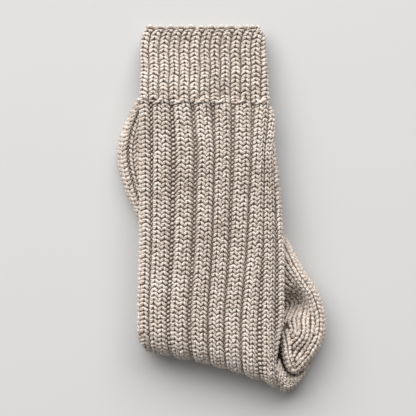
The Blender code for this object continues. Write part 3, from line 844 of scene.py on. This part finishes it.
# %% The wall of the heel
def close_ends(piece):
    """Fill the open ends of a piece, and turn all its faces outward."""
    bpy.ops.object.select_all(action="DESELECT")
    bpy.context.view_layer.objects.active = piece
    piece.select_set(True)
    bpy.ops.object.mode_set(mode="EDIT")
    bpy.ops.mesh.select_all(action="DESELECT")
    bpy.ops.mesh.select_non_manifold()
    bpy.ops.mesh.edge_face_add()
    bpy.ops.mesh.select_all(action="SELECT")
    bpy.ops.mesh.normals_make_consistent(inside=False)
    bpy.ops.object.mode_set(mode="OBJECT")


def make_heel_wall(name):
    """A closed pocket: flat below, up over the rim, and down into the pushed-in side."""
    outline = through(np.vstack((HEEL_OUTLINE, HEEL_OUTLINE[:1])), 4.0)[:-1]
    spine_y = np.clip(outline[:, 1], HEEL_SPINE[-1, 1], HEEL_SPINE[0, 1])
    spine = np.stack((np.interp(-spine_y, -HEEL_SPINE[:, 1], HEEL_SPINE[:, 0]), spine_y), -1)
    reach = np.linalg.norm(spine - outline[:, :2], axis=1)
    inset = np.minimum(PROUD / np.maximum(reach, 1.0), 0.3)
    rings = []

    def towards_spine(share):
        return outline[:, :2] + (spine - outline[:, :2]) * share[:, None]

    for share, lift in ((0.20, 0.0), (0.08, 0.14), (0.0, 0.45), (0.0, 0.75), (0.05, 0.93)):
        height = np.maximum(outline[:, 2] * lift - PROUD * (lift > 0.9), 0.3)
        rings.append(np.column_stack((towards_spine(share + inset), height)))
    for share in np.linspace(0.14, 0.96, 14):
        plan = towards_spine(np.maximum(share, inset + 0.08))
        rings.append(np.column_stack((plan, heel.height(plan) - PROUD)))
    piece = make_cloth(name, np.vstack(rings), lattice(len(rings), len(outline)))
    close_ends(piece)
    wall = piece.modifiers.new("wall", "SOLIDIFY")
    wall.thickness, wall.offset = WALL * MM, -1.0
    bpy.ops.object.modifier_apply(modifier=wall.name)
    return piece


heel_wall = make_heel_wall("upper_heel_wall")

# %% [markdown]
# The heel of the lower sock curls round the bottom of the upper one, as a tapering roll.

# %% The curl of the lower heel
# Outer edge x, y, inner edge x, y, height
HEEL_CURL = np.array((
    (41.0, -134.0, 44.6, -116.2, 30.0), (45.0, -139.6, 47.4, -122.7, 28.0),
    (49.6, -142.0, 51.0, -127.8, 25.0), (56.0, -138.8, 55.8, -129.8, 21.5),
    (61.3, -133.6, 60.3, -128.4, 18.5), (65.4, -128.0, 64.4, -124.8, 15.5),
    (68.7, -122.4, 67.9, -120.2, 11.5), (71.2, -117.6, 70.6, -116.4, 7.5),
))


class Curl(Cloth):
    """A roll of knitting: along it in rows of a table, round it in columns from the outside."""

    columns, facing = 6.0, -1.0

    def __init__(self):
        self.rows = through(HEEL_CURL, 1.0)
        self.places = np.arange(0.0, len(self.rows) - 0.9, 0.5)

    def surface(self, along, column):
        along, column = np.broadcast_arrays(along, column)
        row = look_up(along, np.arange(len(self.rows), dtype=float), self.rows)
        turn = pi * column / self.columns
        outer, inner = row[..., 0:2], row[..., 2:4]
        middle, reach = 0.5 * (outer + inner), 0.5 * (outer - inner)
        lift = np.clip((0.5 + 0.62 * np.sin(turn)) / 1.12, 0.0, 1.0)
        return np.concatenate((middle + reach * np.cos(turn)[..., None],
                               (row[..., 4] * lift)[..., None]), axis=-1)


curl = Curl()
around = np.arange(0.0, 2.0 * Curl.columns, 0.5)
rings = [curl.at(float(row), around, 0.0) for row in range(0, len(curl.rows), 2)]
curl_wall = make_cloth("lower_heel_wall", np.vstack(rings), lattice(len(rings), len(around)))
close_ends(curl_wall)

# %% [markdown]
# ## The stitches of each part
#
# Only the cloth that can be seen is covered: the front and edges of the upper sock, its sole
# on the table, the edges of the sock inside, the heel and the toes.

# %% Sections where each part of a sock starts and ends
def section_at(tube, y):
    """The section along the leg whose middle is at y."""
    middles = 0.5 * (tube.sections[:tube.fold_from, 1] + tube.sections[:tube.fold_from, 4])
    return float(np.interp(-y, -middles, np.arange(len(middles))))


def knit_of_ribs(first, last):
    """The two knit columns of each wide rib from the first to the last."""
    return [4 * rib + side for rib in range(first, last + 1) for side in (-0.5, 0.5)]


def knit_of_cuff(first, last):
    """The knit columns of the cuff, from the first narrow rib to the last."""
    return [2 * rib + 0.5 for rib in range(first, last + 1)]


leg_top, lower_top = section_at(upper, CUFF_END), section_at(lower, CUFF_END)
print("the cuffs end at sections", round(leg_top, 2), "and", round(lower_top, 2))

# %% [markdown]
# Where the cuff meets the leg, half of the wide rib's stitches start from a purl, which shows
# as a short bar. The cast-on edge is a row of loops.

# %% Bars at the foot of the cuff, and the cast-on loops
SEAM_BAR = ((-1.25, -0.70, 1.6), (-0.60, -0.35, 3.4), (0.45, 0.30, 3.6), (1.10, 0.80, 2.2))
LOOP = ((-0.52, -0.60, 0.3), (-0.34, 0.35, 1.0), (0.0, 0.75, 0.6),
        (0.34, 0.35, 1.0), (0.52, -0.60, 0.3))
LOW_LOOP = ((-0.55, 0.10, -0.6), (0.0, 0.45, 0.2), (0.55, 0.10, -0.6))
SEAM_RADIUS, LOOP_RADIUS = 2.0, 1.35
knit_stitches, purl_stitches = np.arange(0.5, STITCHES, 2.0), np.arange(1.5, STITCHES, 2.0)


def lay_across(strands, cloth, stitches, along, path, radius):
    """One strand at each of several stitches, all at one place along."""
    shape = strand_shape(strands.strand, path, radius)
    for stitch in stitches:
        places, lengths = cloth.line(stitch)
        row = np.interp(along, places, lengths)

        def place(along, stitch, lift):
            past_mouth = np.minimum(along, 0.0)[..., None] * (0.0, 1.0, 0.0)
            return cloth.at(np.interp(along, lengths, places), stitch, lift) - past_mouth

        strands.lay(place, shape, stitch, np.array([row]))


# %% Leg and cuff of the upper sock
strands = Strands("upper_leg_knit", STRAND)
knit_columns(strands, upper, knit_of_ribs(-1, 8), leg_top, upper.fold_to)
strands.finish()
strands = Strands("upper_leg_purl", BEAD)
purl_valleys(strands, upper, (-6, -2, 2, 6, 26, 30), leg_top, upper.fold_to, radius=1.15)
purl_valleys(strands, upper, (10, 14, 18, 22), leg_top, upper.fold_to, sunk=0.7)
strands.finish()
strands = Strands("upper_cuff_knit", STRAND)
knit_columns(strands, upper, knit_of_cuff(-3, 16), 0.0, leg_top)
strands.finish()
strands = Strands("upper_cuff_purl", BEAD)
cuff_valleys = [stitch + 1.0 for stitch in knit_of_cuff(-3, 15)]
purl_valleys(strands, upper, cuff_valleys, 0.0, leg_top, radius=0.9, stretch=0.5)
strands.finish()
strands = Strands("upper_cuff_edge", BEAD)
lay_across(strands, upper, knit_stitches, 0.0, LOOP, LOOP_RADIUS)
lay_across(strands, upper, purl_stitches, 0.0, LOW_LOOP, LOOP_RADIUS)
strands.finish()
strands = Strands("cuff_seam", BEAD)
lay_across(strands, upper, np.arange(-0.5, 30.0, 4.0), leg_top, SEAM_BAR, SEAM_RADIUS)
strands.finish()

# %% [markdown]
# The foot lies under the leg. Its edge shows at the left, as ribs, and its sole is plain.

# %% Foot and sole of the upper sock
foot_end = upper.last - 1.0
strands = Strands("upper_foot_edge", STRAND)
knit_columns(strands, upper, knit_of_ribs(-1, 0), upper.fold_to, foot_end, radius=1.3)
strands.finish()
strands = Strands("upper_foot_valleys", BEAD)
purl_valleys(strands, upper, (-2, 2), upper.fold_to, foot_end)
strands.finish()
strands = Strands("upper_sole", PLAIN_STRAND)
knit_columns(strands, upper, np.arange(3.5, 34.0), upper.fold_to, foot_end, radius=1.2)
strands.finish()

# %% [markdown]
# Of the lower sock only the edges of its leg show, and the toes bulging out at the left.

# %% Edges of the lower sock, and its foot beside the leg
foot_end = lower.last - 1.0
strands = Strands("lower_sock_knit", PLAIN_STRAND)
for first, last in ((-1, 1), (6, 8)):
    knit_columns(strands, lower, knit_of_ribs(first, last), lower_top, lower.fold_to)
for first, last in ((-3, 1), (11, 15)):
    knit_columns(strands, lower, knit_of_cuff(first, last), 0.0, lower_top)
lay_across(strands, lower, knit_stitches, 0.0, LOOP, LOOP_RADIUS)
strands.finish()
strands = Strands("lower_foot_knit", STRAND)
knit_columns(strands, lower, knit_of_ribs(-3, 1), lower.fold_to, foot_end, radius=1.35)
strands.finish()
strands = Strands("lower_foot_valleys", BEAD)
purl_valleys(strands, lower, (-10, -6, -2, 2), lower.fold_to, foot_end)
strands.finish()

# %% [markdown]
# A heel is plain knitting with taller stitches, so its strands are longer and lie closer.

# %% Heels
strands = Strands("upper_heel_knit", STRAND)
knit_columns(strands, heel, np.arange(-3.0, HEEL_COLUMNS), 0.0, heel.length[-1],
             radius=1.45, leg=HEEL_LEG, width=HEEL_COLUMN)
strands.finish()
strands = Strands("lower_heel_knit", STRAND)
knit_columns(strands, curl, np.arange(-1.0, 7.0), 0.0, len(curl.rows) - 1.0, radius=1.2)
strands.finish()

# %% [markdown]
# ## Hand over
#
# Everything moves with the one body. Each wall stands for the solids of its stretch of a sock.

# %% Hand over to the frame
SLOTS = {"cuff": "wool_cuff", "heel": "wool_heel", "foot": "wool_foot", "sole": "wool_foot"}
for name, piece in pieces.items():
    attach(piece, "root")
    part = next((part for part in SLOTS if part in name), None)
for wall, slot in ((upper_wall, "wool_leg"), (lower_wall, "wool_leg"),
                   (heel_wall, "wool_heel"), (curl_wall, "wool_heel")):
    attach(wall, "root")
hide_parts("upper_cuff", "upper_leg", "upper_foot")
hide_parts("lower_cuff", "lower_leg", "lower_foot")
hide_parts("upper_heel")
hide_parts("lower_heel")

# %% [markdown]
# ## The cloth as it was knitted
#
# A sock is a tube. Its length and the area of its cloth are measured as if it were slit open:
# all the way round, and from the mouth of the cuff to the toe. It narrows to the foot and the
# toe, so the area is smaller than the rectangle.


def opened_out(tube):
    """Length of a sock down its middle, and the area of its cloth slit open, in metres."""
    lengths = tube.line(FRONT_MIDDLE)[1] * MM
    across = np.linalg.norm(tube.sections[:, 3:6] - tube.sections[:, 0:3], axis=1)
    half = tube.sections[:, 9]
    girths = 2.0 * (across - 2.0 * half + pi * half) * MM
    return float(lengths[-1]), float(np.sum(0.5 * (girths[1:] + girths[:-1]) * np.diff(lengths)))


for wall, tube, rests_on, part in ((upper_wall, upper, [floor, lower_wall], "upper"),
                                   (lower_wall, lower, [upper_wall], "lower")):
    length, area = opened_out(tube)
